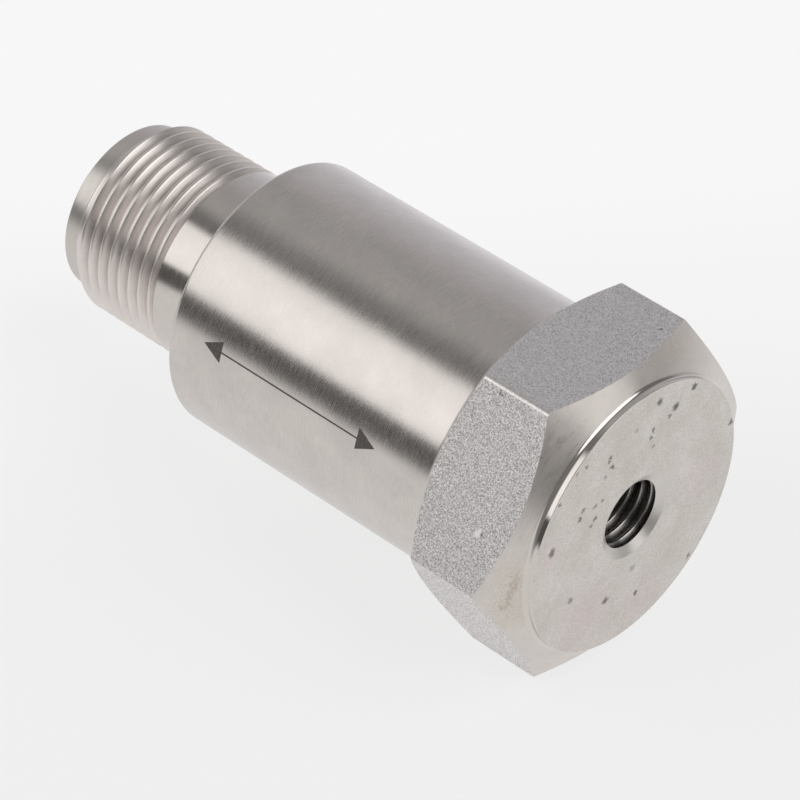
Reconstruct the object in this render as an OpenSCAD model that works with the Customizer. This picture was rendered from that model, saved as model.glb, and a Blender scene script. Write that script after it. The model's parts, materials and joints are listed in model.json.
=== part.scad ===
// Industrial vibration sensor with a hexagonal base and a threaded two-pin connector.
// The origin is the centre of the mounting face, and +Z is the sensing axis towards the connector.

/* [Base] */
// Width across the flats of the hexagon
hex_af = 25; // [24:0.5:32]
// Height from the mounting face to the foot of the round body
base_h = 10.3; // [9:0.1:14]
// Slope of the turned cones that crown both ends of the hexagon
crown_angle = 30; // [20:1:35]
// Height of the turned lip round the mounting face
lip_h = 0.55; // [0.45:0.05:1]
// Chamfer on the edge of the mounting face
face_edge = 0.05; // [0.03:0.01:0.1]
// Tool radius left in the corners at the lip and at the foot of the body
corner_r = 0.45; // [0.1:0.05:0.5]

/* [Body] */
// Diameter of the round body and of the lip
body_d = 22; // [20:0.5:23]
// Length of the round body above the hexagon
body_len = 25.9; // [24.5:0.1:40]
// Radius of the rounded shoulder
shoulder_r = 0.4; // [0.2:0.1:1]
// Wall of the round body
body_wall = 2.2; // [1.8:0.1:3]
// Steel between the foot of the round body and the floor of the cavity
floor_rise = 0.7; // [0.3:0.1:2]

/* [Stud hole] */
// Drilled diameter of the hole, tapped for a 1/4-28 stud
stud_hole_d = 5.5; // [4.5:0.1:6.5]
// Depth of the hole to the start of the drill point
stud_hole_depth = 7.2; // [5:0.1:8]
// Full angle of the drill point
drill_angle = 118; // [110:1:140]
// Diameter of the countersink at the mounting face
countersink_d = 6.9; // [6.8:0.1:9]
// Full angle of the countersink
countersink_angle = 120; // [90:1:130]

/* [Connector] */
// Diameter over the crests of the connector thread, 5/8 inch nominal
thread_d = 15.7; // [14.5:0.1:17]
// Length of the threaded barrel
thread_len = 9.15; // [6:0.05:12]
// Pitch of the connector thread, 24 turns to the inch
thread_pitch = 1.058; // [0.92:0.001:1.4]
// Depth of the connector thread
thread_depth = 0.58; // [0.3:0.01:0.7]
// Flat on the crest of the connector thread
thread_crest = 0.22; // [0.1:0.01:0.3]
// Length of the plain neck between the shoulder and the thread
neck_len = 4.65; // [3.5:0.05:8]
// Diameter of the plain pilot ring at the mouth
pilot_d = 13.9; // [13.4:0.1:14.3]
// Length of the pilot ring
pilot_len = 1.4; // [1:0.1:4]
// Chamfer on the lead of the thread
thread_edge = 0.85; // [0.4:0.05:0.9]
// Chamfer on the edge of the mouth
mouth_edge = 0.15; // [0.1:0.05:0.35]
// Bore of the socket
socket_d = 12; // [11:0.1:12.3]
// Depth of the socket from the mouth to the insert
socket_depth = 8.5; // [6:0.1:10]
// Width of the polarising keyway
keyway_w = 2; // [1:0.1:3]
// Depth of the keyway in the wall of the socket
keyway_depth = 0.45; // [0.2:0.05:0.5]
// Ledge that the insert seats on
insert_ledge = 1; // [0.6:0.1:1.5]
// Thickness of the insert
insert_t = 3.4; // [2:0.1:4]
// Thickness of the flange that is welded into the body
flange_t = 2; // [1.5:0.1:3]
// Width of the ledge in the body that the flange seats on
weld_ledge = 0.9; // [0.5:0.1:1]

/* [Contacts] */
// Diameter of a contact pin
pin_d = 1.575; // [1:0.025:2]
// Distance between the two pins
pin_spacing = 5.5; // [4.5:0.1:6.5]
// Distance from the mouth back to the tip of a pin
pin_recess = 1.5; // [0.5:0.1:3]
// Outside diameter of a solder cup
cup_d = 2; // [1.8:0.1:2.4]
// Length of a solder cup behind the insert
cup_len = 2.5; // [1.5:0.1:3]
// Bore of a solder cup
cup_bore_d = 1; // [0.6:0.05:1.2]
// Depth of the bore of a solder cup
cup_bore_depth = 1.8; // [0.8:0.1:2]

/* [Sensing element] */
// Thickness of the disc that isolates the element from the case
insulator_t = 0.6; // [0.3:0.1:1.2]
// Margin of the disc beyond the shield
insulator_margin = 0.4; // [0.2:0.1:0.8]
// Gap between the wall of the cavity and the shield
isolation_gap = 1.4; // [1:0.1:2]
// Wall of the shield
shield_t = 0.3; // [0.2:0.05:0.5]
// Room inside the shield above the preload bolt
shield_headroom = 1.4; // [0.6:0.1:2]
// Thickness of the seat of the element
seat_t = 3; // [2.6:0.1:4]
// Room between the mass and the shield for the leads
lead_room = 1; // [0.9:0.1:1.5]
// Thickness of a piezoelectric ring
ring_t = 1.5; // [0.8:0.1:2]
// Step from the edge of the mass to the edge of the rings
ring_step = 0.5; // [0.2:0.1:1]
// Thickness of the electrode between the rings
electrode_t = 0.2; // [0.1:0.05:0.3]
// Width of the solder tab of the electrode
tab_w = 1.6; // [1:0.1:2.5]
// Height of the seismic mass
mass_h = 5; // [3:0.1:6]
// Chamfer on the edges of the seismic mass
mass_edge = 0.4; // [0.1:0.1:0.8]
// Wall of the insulating sleeve round the bolt
sleeve_t = 0.6; // [0.3:0.1:0.8]

/* [Preload bolt] */
// Diameter of the shank
bolt_d = 3; // [2.5:0.1:3.5]
// Diameter of the head
bolt_head_d = 5.5; // [5:0.1:6.5]
// Height of the head
bolt_head_h = 3; // [2:0.1:3.5]
// Width across the flats of the key socket
key_af = 2.5; // [1.5:0.1:2.8]
// Depth of the key socket
key_depth = 1.3; // [0.8:0.1:1.6]
// Length of the shank in the tapped seat
bolt_grip = 2.4; // [1.5:0.1:2.5]
// Diameter of the conical spring washer
washer_d = 6.4; // [5.6:0.1:8]
// Thickness of the spring washer
washer_t = 0.4; // [0.2:0.05:0.6]
// Height of the cone of the spring washer
washer_rise = 0.2; // [0.1:0.05:0.4]

/* [Electronics] */
// Thickness of the ring under the circuit board
spacer_t = 1; // [0.6:0.1:1.5]
// Width of the ring under the circuit board
spacer_w = 1.8; // [1.5:0.1:2.5]
// Thickness of the circuit board
board_t = 1; // [0.6:0.1:1.6]
// Gap between the circuit board and the wall of the cavity
board_gap = 0.5; // [0.3:0.1:1]
// Size of the amplifier chip
chip_size = [4.9, 3.9, 1.5]; // [0.4:0.05:5]
// Distance between the leads of the chip
chip_pitch = 1.27; // [1:0.01:1.3]
// Size of the input capacitor
input_capacitor_size = [3.2, 2.5, 1.6]; // [0.4:0.05:5]
// Size of the supply capacitor
supply_capacitor_size = [3.5, 2.8, 1.9]; // [0.4:0.05:5]
// Size of the output transistor
transistor_size = [2.9, 1.3, 1]; // [0.4:0.05:5]
// Size of the bias resistor
resistor_size = [2, 1.25, 0.5]; // [0.4:0.05:5]
// Size of the protection diode
diode_size = [2.7, 1.6, 1.1]; // [0.4:0.05:5]

/* [Leads] */
// Diameter of the bare leads from the sensing element
lead_d = 0.5; // [0.3:0.05:0.6]
// Length of a lead above the circuit board
lead_tail = 0.6; // [0.3:0.1:1]
// Gap round a lead in the shield and the spacer
lead_gap = 0.3; // [0.1:0.05:0.4]
// Diameter over the insulation of the leads to the contacts
wire_d = 1.1; // [0.9:0.05:1.4]
// Bare end of the leads to the contacts
wire_strip = 0.8; // [0.3:0.1:1.2]

/* [Fits] */
// Radial gap of fitted and welded pieces
fit_gap = 0.02; // [0.01:0.01:0.04]

/* [Hidden] */

$fn = 96;
// Overlap of cutting shapes past the face that they open
cut = 1;

// Radii of the housing
body_r = body_d / 2;
hex_r = hex_af / sqrt(3);
cavity_r = body_r - body_wall;
weld_r = cavity_r + weld_ledge;
stud_hole_r = stud_hole_d / 2;
countersink_r = countersink_d / 2;

// Heights of the housing and the connector
shoulder_z = base_h + body_len;
floor_z = base_h + floor_rise;
flange_z = shoulder_z - flange_t;
thread_z = shoulder_z + neck_len;
pilot_z = thread_z + thread_len;
mouth_z = pilot_z + pilot_len;
insert_top_z = mouth_z - socket_depth;
insert_z = insert_top_z - insert_t;
cup_z = insert_z - cup_len;

// Radii of the connector
thread_r = thread_d / 2;
root_r = thread_r - thread_depth;
pilot_r = pilot_d / 2;
socket_r = socket_d / 2;
rear_bore_r = socket_r - insert_ledge;
pin_r = pin_d / 2;

// Grooves of the connector thread, which are rings here and a helix on the real part
flank_angle = 30;
flank_run = thread_depth * tan(flank_angle);
groove_w = thread_pitch - thread_crest;
groove_count = floor((thread_len - thread_edge + thread_crest) / thread_pitch);

// Radii of the sensing element, from the wall of the cavity inwards
shield_r = cavity_r - isolation_gap;
shield_bore_r = shield_r - shield_t;
seat_r = shield_bore_r - fit_gap;
mass_r = shield_bore_r - lead_room;
ring_r = mass_r - ring_step;
lead_place_r = (mass_r + shield_bore_r) / 2;
bolt_r = bolt_d / 2;
sleeve_r = bolt_r + fit_gap + sleeve_t;
stack_bore_r = sleeve_r + fit_gap;

// Heights of the sensing element, from the floor of the cavity upwards
seat_z = floor_z + insulator_t;
ring_a_z = seat_z + seat_t;
electrode_z = ring_a_z + ring_t;
ring_b_z = electrode_z + electrode_t;
mass_z = ring_b_z + ring_t;
washer_z = mass_z + mass_h;
head_z = washer_z + washer_t + washer_rise;
bolt_top_z = head_z + bolt_head_h;
shield_top_z = bolt_top_z + shield_headroom + shield_t;
board_z = shield_top_z + spacer_t;
board_top_z = board_z + board_t;
board_r = cavity_r - board_gap;

// Places of the electronics on the board
chip_at = [0, 4.1];
input_capacitor_at = [-4.3, -3.4];
supply_capacitor_at = [0, -3.2];
transistor_at = [4.1, -3];
resistor_at = [0, -6];
diode_at = [-5.2, 3.4];

// Section of the fillet that a round-nosed tool leaves where a wall along Z meets a cone
module tool_corner(r, z, side) {
    reach = corner_r * tan(45 - crown_angle / 2);
    span = corner_r / cos(45 - crown_angle / 2);
    along = [cos(crown_angle), side * sin(crown_angle)];
    bisector = [cos(45 - crown_angle / 2), -side * sin(45 - crown_angle / 2)];
    translate([r, z])
        difference() {
            polygon([[-corner_r, 0], [0, -side * reach], reach * along, [-corner_r, side * corner_r]]);
            translate(span * bisector) circle(corner_r);
        }
}

// Turned section of the base: lip, lower cone, upper cone, with the tool's corners
module base_section() {
    outer_r = hex_r + cut;
    cone_h = (outer_r - body_r) * tan(crown_angle);
    polygon([[0, 0], [body_r - face_edge, 0], [body_r, face_edge], [body_r, lip_h],
        [outer_r, lip_h + cone_h], [outer_r, base_h - cone_h], [body_r, base_h], [0, base_h]]);
    tool_corner(body_r, lip_h, 1);
    tool_corner(body_r, base_h, -1);
}

// Section of the round body with its rounded shoulder
module body_section() {
    square([body_r, shoulder_z - shoulder_r]);
    square([body_r - shoulder_r, shoulder_z]);
    translate([body_r - shoulder_r, shoulder_z - shoulder_r]) circle(shoulder_r);
}

// Tapped hole for the mounting stud, with its drill point and countersink
module stud_hole() {
    point_h = stud_hole_r / tan(drill_angle / 2);
    sink_h = (countersink_r - stud_hole_r) / tan(countersink_angle / 2);
    rotate_extrude()
        polygon([[0, -cut], [countersink_r, -cut], [countersink_r, 0], [stud_hole_r, sink_h],
            [stud_hole_r, stud_hole_depth], [0, stud_hole_depth + point_h]]);
}

module housing() color("#b8b3ad")
    difference() {
        union() {
            intersection() {
                rotate_extrude() base_section();
                cylinder(r = hex_r, h = base_h + corner_r, $fn = 6);
            }
            translate([0, 0, lip_h])
                rotate_extrude()
                    intersection() {
                        translate([0, -lip_h]) body_section();
                        square([body_r, shoulder_z]);
                    }
        }
        translate([0, 0, floor_z]) cylinder(r = cavity_r, h = shoulder_z);
        translate([0, 0, flange_z]) cylinder(r = weld_r, h = shoulder_z);
        stud_hole();
    }

// Section of one groove of the connector thread, from its lower edge
function thread_groove(z) = [[thread_r, z], [root_r, z + flank_run], [root_r, z + groove_w - flank_run],
    [thread_r, z + groove_w]];

module connector_shell() color("#bdb8b2")
    difference() {
        rotate_extrude()
            polygon(concat(
                [[rear_bore_r, flange_z], [weld_r - fit_gap, flange_z], [weld_r - fit_gap, shoulder_z],
                    [thread_r, shoulder_z]],
                [for (turn = [0 : groove_count - 1]) each thread_groove(thread_z + turn * thread_pitch)],
                [[thread_r, pilot_z - thread_edge], [thread_r - thread_edge, pilot_z], [pilot_r, pilot_z],
                    [pilot_r, mouth_z - mouth_edge], [pilot_r - mouth_edge, mouth_z], [socket_r, mouth_z],
                    [socket_r, insert_z], [rear_bore_r, insert_z]]));
        translate([-keyway_w / 2, 0, insert_top_z])
            cube([keyway_w, socket_r + keyway_depth, socket_depth + cut]);
    }

module connector_insert() color("#3a4038")
    difference() {
        translate([0, 0, insert_z]) cylinder(r = socket_r - fit_gap, h = insert_t);
        for (side = [-1, 1])
            translate([side * pin_spacing / 2, 0, insert_z - cut])
                cylinder(r = pin_r + fit_gap, h = insert_t + 2 * cut);
    }

// Contact with a rounded tip in the socket and a solder cup behind the insert
module contact_pin(side) color("#c9a54a")
    translate([side * pin_spacing / 2, 0, 0])
        rotate_extrude() {
            tip_z = mouth_z - pin_recess - pin_r;
            cup_bore_z = cup_z + cup_bore_depth;
            polygon([[cup_bore_d / 2, cup_z], [cup_d / 2, cup_z], [cup_d / 2, insert_z], [pin_r, insert_z],
                [pin_r, tip_z], [0, tip_z], [0, cup_bore_z], [cup_bore_d / 2, cup_bore_z]]);
            intersection() {
                translate([0, tip_z]) circle(pin_r);
                translate([0, tip_z]) square(pin_r);
            }
        }

module contact_pin_a() contact_pin(-1);

module contact_pin_b() contact_pin(1);

module base_insulator() color("#ece8dc")
    translate([0, 0, floor_z]) cylinder(r = shield_r + insulator_margin, h = insulator_t);

module element_base() color("#a9a6a2")
    difference() {
        translate([0, 0, seat_z]) cylinder(r = seat_r, h = seat_t);
        translate([0, 0, ring_a_z - bolt_grip]) cylinder(r = bolt_r + fit_gap, h = bolt_grip + cut);
    }

// Ring of the stack, bored for the sleeve
module stack_ring(z, r, h) {
    translate([0, 0, z])
        difference() {
            cylinder(r = r, h = h);
            translate([0, 0, -cut]) cylinder(r = stack_bore_r, h = h + 2 * cut);
        }
}

module piezo_ring_lower() color("#d8d2c0") stack_ring(ring_a_z, ring_r, ring_t);

module piezo_ring_upper() color("#d8d2c0") stack_ring(ring_b_z, ring_r, ring_t);

module electrode_plate() color("#c58a4e") {
    tab_end = lead_place_r + lead_d / 2;
    difference() {
        translate([0, 0, electrode_z])
            union() {
                cylinder(r = ring_r, h = electrode_t);
                translate([0, -tab_w / 2, 0]) cube([tab_end, tab_w, electrode_t]);
            }
        translate([0, 0, electrode_z - cut]) cylinder(r = stack_bore_r, h = electrode_t + 2 * cut);
    }
}

module seismic_mass() color("#8d8c8a")
    translate([0, 0, mass_z])
        rotate_extrude()
            polygon([[stack_bore_r, 0], [mass_r - mass_edge, 0], [mass_r, mass_edge],
                [mass_r, mass_h - mass_edge], [mass_r - mass_edge, mass_h], [stack_bore_r, mass_h]]);

module insulating_sleeve() color("#e6e0c8")
    translate([0, 0, ring_a_z])
        difference() {
            cylinder(r = sleeve_r, h = washer_z - ring_a_z);
            translate([0, 0, -cut]) cylinder(r = bolt_r + fit_gap, h = washer_z - ring_a_z + 2 * cut);
        }

module preload_washer() color("#77736e")
    translate([0, 0, washer_z])
        rotate_extrude()
            polygon([[bolt_r + fit_gap, washer_rise], [washer_d / 2, 0], [washer_d / 2, washer_t],
                [bolt_r + fit_gap, washer_rise + washer_t]]);

module preload_bolt() color("#5a5856")
    difference() {
        union() {
            translate([0, 0, head_z]) cylinder(d = bolt_head_d, h = bolt_head_h);
            translate([0, 0, ring_a_z - bolt_grip]) cylinder(r = bolt_r, h = head_z - ring_a_z + bolt_grip);
        }
        translate([0, 0, bolt_top_z - key_depth]) cylinder(d = key_af / cos(30), h = key_depth + cut, $fn = 6);
    }

// Holes for the two bare leads, one on each side of the stack
module lead_holes(r, z, h) {
    for (side = [-1, 1])
        translate([side * lead_place_r, 0, z - cut]) cylinder(r = r, h = h + 2 * cut);
}

module inner_shield() color("#b9a27a")
    difference() {
        translate([0, 0, seat_z]) cylinder(r = shield_r, h = shield_top_z - seat_z);
        translate([0, 0, seat_z - cut])
            cylinder(r = shield_bore_r, h = shield_top_z - shield_t - seat_z + cut);
        lead_holes(lead_d / 2 + lead_gap, shield_top_z - shield_t, shield_t);
    }

module board_spacer() color("#e9e4d6")
    difference() {
        translate([0, 0, shield_top_z]) cylinder(r = shield_r, h = spacer_t);
        translate([0, 0, shield_top_z - cut]) cylinder(r = shield_r - spacer_w, h = spacer_t + 2 * cut);
        lead_holes(lead_d / 2 + lead_gap, shield_top_z, spacer_t);
    }

module circuit_board() color("#2f6b46")
    difference() {
        translate([0, 0, board_z]) cylinder(r = board_r, h = board_t);
        lead_holes(lead_d / 2 + fit_gap, board_z, board_t);
    }

// Box that stands on the board, centred over a place on it
module on_board(place, size, lift = 0) {
    translate([place.x - size.x / 2, place.y - size.y / 2, board_top_z + lift]) cube(size);
}

module amplifier_chip() color("#26262a") {
    lead_w = 0.42;
    lead_t = 0.2;
    lead_reach = 1.05;
    foot = 0.6;
    lift = 0.15;
    on_board(chip_at, [chip_size.x, chip_size.y, chip_size.z - lift], lift);
    for (side = [-1, 1], k = [-1.5 : 1.5])
        translate([chip_at.x + k * chip_pitch - lead_w / 2, chip_at.y, board_top_z])
            mirror([0, side < 0 ? 1 : 0, 0]) {
                translate([0, chip_size.y / 2, chip_size.z / 2])
                    cube([lead_w, lead_reach - foot, lead_t]);
                translate([0, chip_size.y / 2 + lead_reach - foot - lead_t, 0])
                    cube([lead_w, lead_t, chip_size.z / 2 + lead_t]);
                translate([0, chip_size.y / 2 + lead_reach - foot, 0]) cube([lead_w, foot, lead_t]);
            }
}

// Chip component: a body with a metal cap on each end
module chip_component(place, size, cap, body_colour) {
    color(body_colour) on_board(place, [size.x - 2 * cap, size.y, size.z]);
    color("#c9c6c0")
        for (side = [-1, 1])
            on_board(place + [side * (size.x - cap) / 2, 0], [cap, size.y, size.z]);
}

module input_capacitor() chip_component(input_capacitor_at, input_capacitor_size, 0.5, "#b58a5c");

module supply_capacitor() chip_component(supply_capacitor_at, supply_capacitor_size, 0.4, "#d9a441");

module bias_resistor() chip_component(resistor_at, resistor_size, 0.35, "#1f1f22");

module protection_diode() chip_component(diode_at, diode_size, 0.3, "#2a2a2c");

module output_transistor() color("#26262a") {
    leg = [0.4, 0.55, 0.15];
    on_board(transistor_at, transistor_size);
    for (leg_at = [[-0.95, -1], [0.95, -1], [0, 1]])
        on_board(transistor_at + [leg_at.x, leg_at.y * (transistor_size.y + leg.y) / 2], leg);
}

// Bare lead that stands at one side of the stack and ends just above the board
module bare_lead(side, foot_z) color("#c9c6c0")
    translate([side * lead_place_r, 0, foot_z])
        cylinder(d = lead_d, h = board_top_z + lead_tail - foot_z);

module signal_lead() bare_lead(1, ring_b_z);

module ground_lead() bare_lead(-1, ring_a_z);

// Insulated lead from the board into the solder cup of a contact
module pin_lead(side, sheath) {
    wire_end_z = cup_z + cup_bore_depth;
    strip_z = cup_z - wire_strip;
    translate([side * pin_spacing / 2, 0, 0])
        color(sheath)
            rotate_extrude()
                polygon([[0, board_top_z], [wire_d / 2, board_top_z], [wire_d / 2, strip_z],
                    [cup_bore_d / 2 - fit_gap, strip_z], [cup_bore_d / 2 - fit_gap, wire_end_z],
                    [0, wire_end_z]]);
}

module pin_lead_a() pin_lead(-1, "#b03a32");

module pin_lead_b() pin_lead(1, "#2b2b2b");

housing();
connector_shell();
connector_insert();
contact_pin_a();
contact_pin_b();
base_insulator();
element_base();
piezo_ring_lower();
electrode_plate();
piezo_ring_upper();
seismic_mass();
insulating_sleeve();
preload_washer();
preload_bolt();
inner_shield();
board_spacer();
circuit_board();
amplifier_chip();
input_capacitor();
supply_capacitor();
output_transistor();
bias_resistor();
protection_diode();
signal_lead();
ground_lead();
pin_lead_a();
pin_lead_b();
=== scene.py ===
# %% [markdown]
# # A stud-mounted vibration sensor in turned stainless steel
#
# The sensor is a lathe job: a hexagonal bar is turned down to a round body, a hole is tapped in the face
# that goes against the machine, and a threaded connector is welded into the other end. This lesson models
# it the same way, with outlines that are spun about the Z axis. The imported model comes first, because it
# fixes every size and place.

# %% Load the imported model
import json
import math

import bmesh
import bpy
from mathutils import Matrix, Vector


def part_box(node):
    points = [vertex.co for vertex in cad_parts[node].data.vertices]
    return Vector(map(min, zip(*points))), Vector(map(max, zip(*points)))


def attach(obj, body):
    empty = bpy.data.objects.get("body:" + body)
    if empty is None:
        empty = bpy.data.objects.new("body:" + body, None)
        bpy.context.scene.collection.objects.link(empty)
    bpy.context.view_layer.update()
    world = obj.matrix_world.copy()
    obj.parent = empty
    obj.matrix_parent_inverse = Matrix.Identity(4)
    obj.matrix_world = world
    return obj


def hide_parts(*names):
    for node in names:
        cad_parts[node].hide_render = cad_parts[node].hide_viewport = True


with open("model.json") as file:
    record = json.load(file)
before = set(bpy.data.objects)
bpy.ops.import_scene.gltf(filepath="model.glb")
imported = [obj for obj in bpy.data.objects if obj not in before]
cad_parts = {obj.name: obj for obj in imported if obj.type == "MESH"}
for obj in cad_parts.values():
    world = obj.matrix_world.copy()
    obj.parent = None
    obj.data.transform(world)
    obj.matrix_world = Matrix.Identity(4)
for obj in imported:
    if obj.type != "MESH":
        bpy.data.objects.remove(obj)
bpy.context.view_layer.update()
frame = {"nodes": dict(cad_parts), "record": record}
MM = 0.001

# %% [markdown]
# ## Driving sizes
#
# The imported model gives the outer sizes: the boxes of the housing, the connector and its insert, and the
# radii of the two threaded mounts. They are read instead of typed, so that the pieces made here fit the
# packed ones. Outlines are easiest to read in millimetres, so they become metres only when they become
# vertices.

# %% Sizes in millimetres
mounts = {mount["name"]: mount for mount in frame["record"]["mounts"]}
_, housing_high = (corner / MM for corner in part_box("housing"))
shell_low, shell_high = (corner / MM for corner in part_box("connector_shell"))
insert_low, insert_high = (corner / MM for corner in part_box("connector_insert"))
flat_distance = housing_high.y
corner_radius = housing_high.x
shoulder_z = housing_high.z
flange_z = shell_low.z
flange_radius = shell_high.x
mouth_z = shell_high.z
thread_radius = mounts["connector_barrel"]["dims"]["r_mm"]
stud_minor_radius = mounts["stud_hole"]["dims"]["r_mm"]
print("flats at", round(flat_distance, 3), "shoulder at", round(shoulder_z, 3), "mouth at", round(mouth_z, 3))

# %% [markdown]
# ## The camera
#
# The sensor lies on one of its flats in the photograph, and the model stands on its mounting face. Turning
# the model would move it out of its own frame, so the camera turns instead: it looks up at the mounting
# face, rolled until the supporting flat is at the bottom of the picture. Place, roll and lens come from
# fitting the outlines of the hexagon, the body and the connector.

# %% Camera
camera_place = Vector((-178.53, -199.94, -138.31)) * MM
camera_right = Vector((0.68318, -0.02174, -0.72993))
camera_up = Vector((0.45914, -0.76448, 0.45251))
camera_lens = 190.76
camera_sensor = 36.0
nearest_seen = 10 * MM

camera = bpy.data.objects.new("camera", bpy.data.cameras.new("camera"))
bpy.context.scene.collection.objects.link(camera)
camera.data.sensor_width = camera_sensor
camera.data.lens = camera_lens
camera.data.clip_start = nearest_seen
camera_back = camera_right.cross(camera_up).normalized()
camera.matrix_world = Matrix.Translation(camera_place) @ Matrix(
    (camera_right.normalized(), camera_back.cross(camera_right).normalized(), camera_back)
).transposed().to_4x4()
bpy.context.scene.camera = camera
print("camera is", round((camera_place - Vector((0, 0, mouth_z / 2 * MM))).length, 3), "m away")

# %% [markdown]
# ## Spinning an outline
#
# A lathe makes nearly every surface of this part, so one helper does the same: it joins points of radius
# and height with edges and spins them about Z. The Screw modifier would do it too, but the spin operator
# leaves a plain mesh that the next steps can cut. The spin closes on itself with use_merge, and vertices
# that meet on the axis are merged before the normals are set.

# %% Lathe helpers
TURN_STEPS = 240
MERGE_DISTANCE = 1e-7


def arc(centre, radius, start, end, steps=6):
    """Points along an arc, with angles in degrees."""
    angles = [math.radians(start + (end - start) * step / steps) for step in range(steps + 1)]
    return [(centre[0] + radius * math.cos(a), centre[1] + radius * math.sin(a)) for a in angles]


def spin_outline(outline, closed=False, steps=TURN_STEPS):
    """A solid of revolution from (radius, height) points in millimetres."""
    shape = bmesh.new()
    points = [shape.verts.new((radius * MM, 0, height * MM)) for radius, height in outline]
    pairs = list(zip(points, points[1:])) + ([(points[-1], points[0])] if closed else [])
    edges = [shape.edges.new(pair) for pair in pairs]
    bmesh.ops.spin(shape, geom=points + edges, cent=(0, 0, 0), axis=(0, 0, 1), angle=math.tau, steps=steps,
                   use_merge=True)
    bmesh.ops.remove_doubles(shape, verts=shape.verts, dist=MERGE_DISTANCE)
    bmesh.ops.recalc_face_normals(shape, faces=shape.faces)
    return shape


print("one step of the lathe is", 360 / TURN_STEPS, "degrees")

# %% [markdown]
# ## From a bmesh to a piece
#
# A bmesh is a shape without a name. A piece is an object with a mesh, which rides on the part's body and
# may take the place of imported pieces. Its faces have to point outwards: a signed volume below zero means
# that they don't, and then they are turned round. Shading is smooth, with hard edges where the surface bends
# sharply.

# %% Piece helpers
SHARP_ANGLE = math.radians(30)


def shade_mesh(mesh):
    """Smooth shading, with hard edges where the surface bends sharply."""
    mesh.shade_smooth()
    mesh.set_sharp_from_angle(angle=SHARP_ANGLE)


def make_piece(name, shape, replaced=()):
    """Turn a bmesh into a piece that rides on the part."""
    if shape.calc_volume(signed=True) < 0:
        bmesh.ops.reverse_faces(shape, faces=shape.faces)
    mesh = bpy.data.meshes.new(name)
    shape.to_mesh(mesh)
    shape.free()
    shade_mesh(mesh)
    piece = bpy.data.objects.new(name, mesh)
    bpy.context.scene.collection.objects.link(piece)
    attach(piece, "root")
    if replaced:
        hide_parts(*replaced)
    print(name, "has", len(mesh.polygons), "faces")
    return piece


print("edges sharper than", round(math.degrees(SHARP_ANGLE)), "degrees stay hard")

# %% [markdown]
# ## The housing
#
# The housing is one piece of hexagonal bar. Its outline starts at the drill point of the stud hole, comes
# out over the countersink and the mounting face, climbs the small lip and the lower cone, comes in again
# over the upper cone to the round body, rounds the shoulder and drops into the cavity. Behind the
# countersink the wall of the hole is set back to the root of its thread, which leaves room for the ridge
# made later.

# %% Outline of the stud hole
thread_major = 3.175
thread_clear = 0.03
countersink_radius = 3.45
countersink_half_angle = math.radians(60)
countersink_depth = (countersink_radius - stud_minor_radius) / math.tan(countersink_half_angle)
hole_depth = 7.2
hole_lip = 0.3
hole_land = 0.05
drill_half_angle = math.radians(59)
drill_point = stud_minor_radius / math.tan(drill_half_angle)

stud_hole_outline = [
    (0, hole_depth + drill_point),
    (stud_minor_radius, hole_depth),
    (stud_minor_radius, hole_depth - hole_lip),
    (thread_major + thread_clear, hole_depth - 2 * hole_lip),
    (thread_major + thread_clear, countersink_depth + hole_lip),
    (stud_minor_radius, countersink_depth + hole_land),
    (stud_minor_radius, countersink_depth),
    (countersink_radius, 0),
]
print("the hole is", hole_depth, "mm deep and its countersink", round(countersink_depth, 2))

# %% Outline of the base and the body
body_radius = 11.0
base_height = 10.3
lip_height = 0.55
face_round = 0.05
shoulder_round = 0.5
crown_slope = math.tan(math.radians(30))
tool_radius = 0.45
fillet_shift = tool_radius * crown_slope
blank_margin = 0.6
blank_radius = corner_radius + blank_margin
cone_rise = (blank_radius - body_radius) * crown_slope
cavity_radius = 8.8
cavity_floor = 11.0
weld_gap = 0.02
weld_radius = flange_radius + weld_gap

base_outline = (
    arc((body_radius - face_round, face_round), face_round, 270, 360, 3)
    + arc((body_radius + tool_radius, lip_height - fillet_shift), tool_radius, 180, 120)
    + [(blank_radius, lip_height + cone_rise), (blank_radius, base_height - cone_rise)]
    + arc((body_radius + tool_radius, base_height + fillet_shift), tool_radius, 240, 180)
)
shoulder_outline = arc((body_radius - shoulder_round, shoulder_z - shoulder_round), shoulder_round, 0, 90, 8)
cavity_outline = [
    (weld_radius, shoulder_z),
    (weld_radius, flange_z),
    (cavity_radius, flange_z),
    (cavity_radius, cavity_floor),
    (0, cavity_floor),
]
housing_shape = spin_outline(stud_hole_outline + base_outline + shoulder_outline + cavity_outline)
print("turned blank has", len(housing_shape.faces), "faces")

# %% [markdown]
# ## The six flats
#
# On the real part the hexagon comes first and the lathe cuts the cones into it. Here the order is turned
# round, because a spun blank is easy to cut. The flats could be a Boolean with a prism, but bisecting
# planes give cleaner faces: each cut leaves an open loop, and one face closes it. Where a cone meets a flat
# the cut is a curve, the crown that every turned hexagon has.

# %% Cut the six flats
FLATS = [math.radians(30 + 60 * side) for side in range(6)]


def whole(shape):
    """Everything in a bmesh, for operators that work on all of it."""
    return list(shape.verts) + list(shape.edges) + list(shape.faces)


for angle in FLATS:
    outward = Vector((math.cos(angle), math.sin(angle), 0))
    cut = bmesh.ops.bisect_plane(
        housing_shape, geom=whole(housing_shape), dist=MERGE_DISTANCE,
        plane_co=outward * flat_distance * MM, plane_no=outward, clear_outer=True)
    rim = [item for item in cut["geom_cut"] if isinstance(item, bmesh.types.BMEdge)]
    bmesh.ops.edgeloop_fill(housing_shape, edges=rim)
bmesh.ops.recalc_face_normals(housing_shape, faces=housing_shape.faces)
print("with its flats the blank has", len(housing_shape.faces), "faces")

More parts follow.
